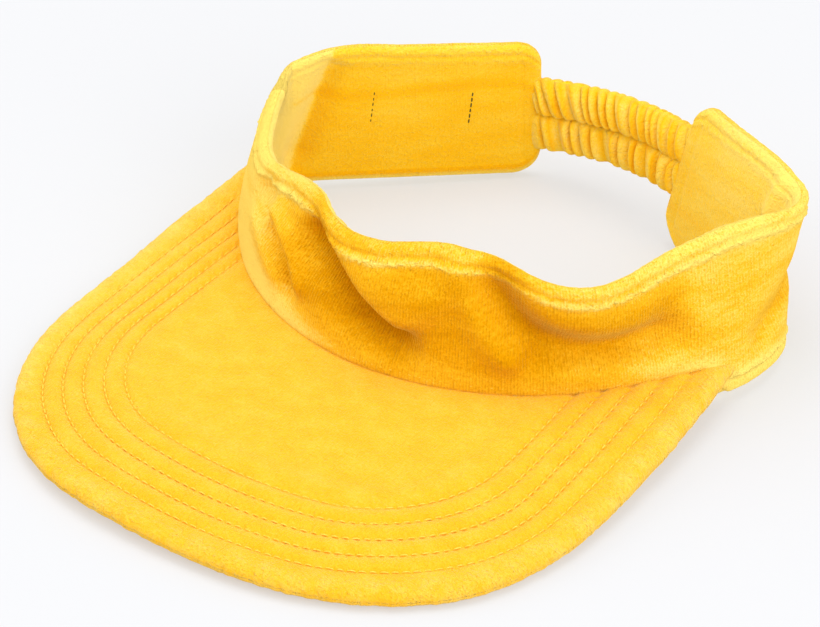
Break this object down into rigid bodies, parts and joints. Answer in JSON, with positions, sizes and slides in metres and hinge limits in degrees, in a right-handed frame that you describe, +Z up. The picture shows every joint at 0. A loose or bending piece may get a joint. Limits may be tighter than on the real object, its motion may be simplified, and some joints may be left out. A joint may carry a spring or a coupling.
{
  "type": "sun visor",
  "caption": "Soft velour sun visor: stitched curved peak with a board in it, tall two-layer band and gathered elastic back, lying relaxed.",
  "frame": {"origin": "middle of the visor's plan on the surface that it rests on", "axes": "+Z up, -Y towards the peak's tip, +X towards the wearer's left"},
  "size_m": [0.1992, 0.2318, 0.0574],
  "materials": {
    "velour_peak": "short pile, soft sheen",
    "velour_band": "short pile, soft sheen",
    "velour_lining": "short pile, soft sheen",
    "velour_casing": "short pile, gathered",
    "board": "matt sheet",
    "padding": "thin foam",
    "interlining": "matt non-woven",
    "thread": "spun polyester",
    "tack_thread": "spun polyester",
    "label": "woven tape, plain",
    "elastic": "woven elastic"
  },
  "bodies": {
    "front": {"peak_top_cover": "velour_peak", "peak_under_cover": "velour_peak", "peak_board": "board", "peak_padding": "padding", "peak_stitch_row_1": "thread", "peak_stitch_row_2": "thread", "peak_stitch_row_3": "thread", "peak_stitch_row_4": "thread", "peak_stitch_row_5": "thread", "front_outer_panel": "velour_band", "front_interlining": "interlining", "front_lining_panel": "velour_lining", "front_top_stitch": "thread", "front_bottom_stitch": "thread", "peak_seam_stitch": "thread"},
    "right_wing": {"right_outer_panel": "velour_band", "right_interlining": "interlining", "right_lining_panel": "velour_lining", "right_hem_stitch": "thread", "side_label": "label", "label_tacks": "tack_thread"},
    "left_wing": {"left_outer_panel": "velour_band", "left_interlining": "interlining", "left_lining_panel": "velour_lining", "left_hem_stitch": "thread"},
    "elastic_right": {"elastic_anchor_right": "elastic", "elastic_casing": "velour_casing", "casing_centre_stitch": "thread", "elastic_strip_upper": "elastic", "elastic_strip_lower": "elastic"},
    "elastic_left": {"elastic_anchor_left": "elastic"}
  },
  "joints": [
    {"name": "right_temple", "type": "hinge", "parent": "front", "child": "right_wing", "pos_m": [-0.08984, 0.05321, 0], "axis": [0, 0, 1], "range_deg": [0, 25], "stiffness_Nm_per_rad": 0.4},
    {"name": "left_temple", "type": "hinge", "parent": "front", "child": "left_wing", "pos_m": [0.09243, 0.05378, 0], "axis": [0, 0, -1], "range_deg": [0, 25]},
    {"name": "elastic_turn", "type": "hinge", "parent": "right_wing", "child": "elastic_right", "pos_m": [-0.02839, 0.11267, 0], "axis": [0, 0, -1], "range_deg": [0, 25]},
    {"name": "elastic_stretch", "type": "slide", "parent": "elastic_right", "child": "elastic_left", "axis": [1, 0, 0], "range_m": [0, 0.059], "deforming": ["elastic_casing", "casing_centre_stitch", "elastic_strip_upper", "elastic_strip_lower"]}
  ],
  "couplings": [
    {"joint": "left_temple", "follows": "right_temple", "ratio": 1},
    {"joint": "elastic_turn", "follows": "right_temple", "ratio": 1},
    {"joint": "elastic_stretch", "follows": "right_temple", "m_per_rad": 0.1352}
  ]
}
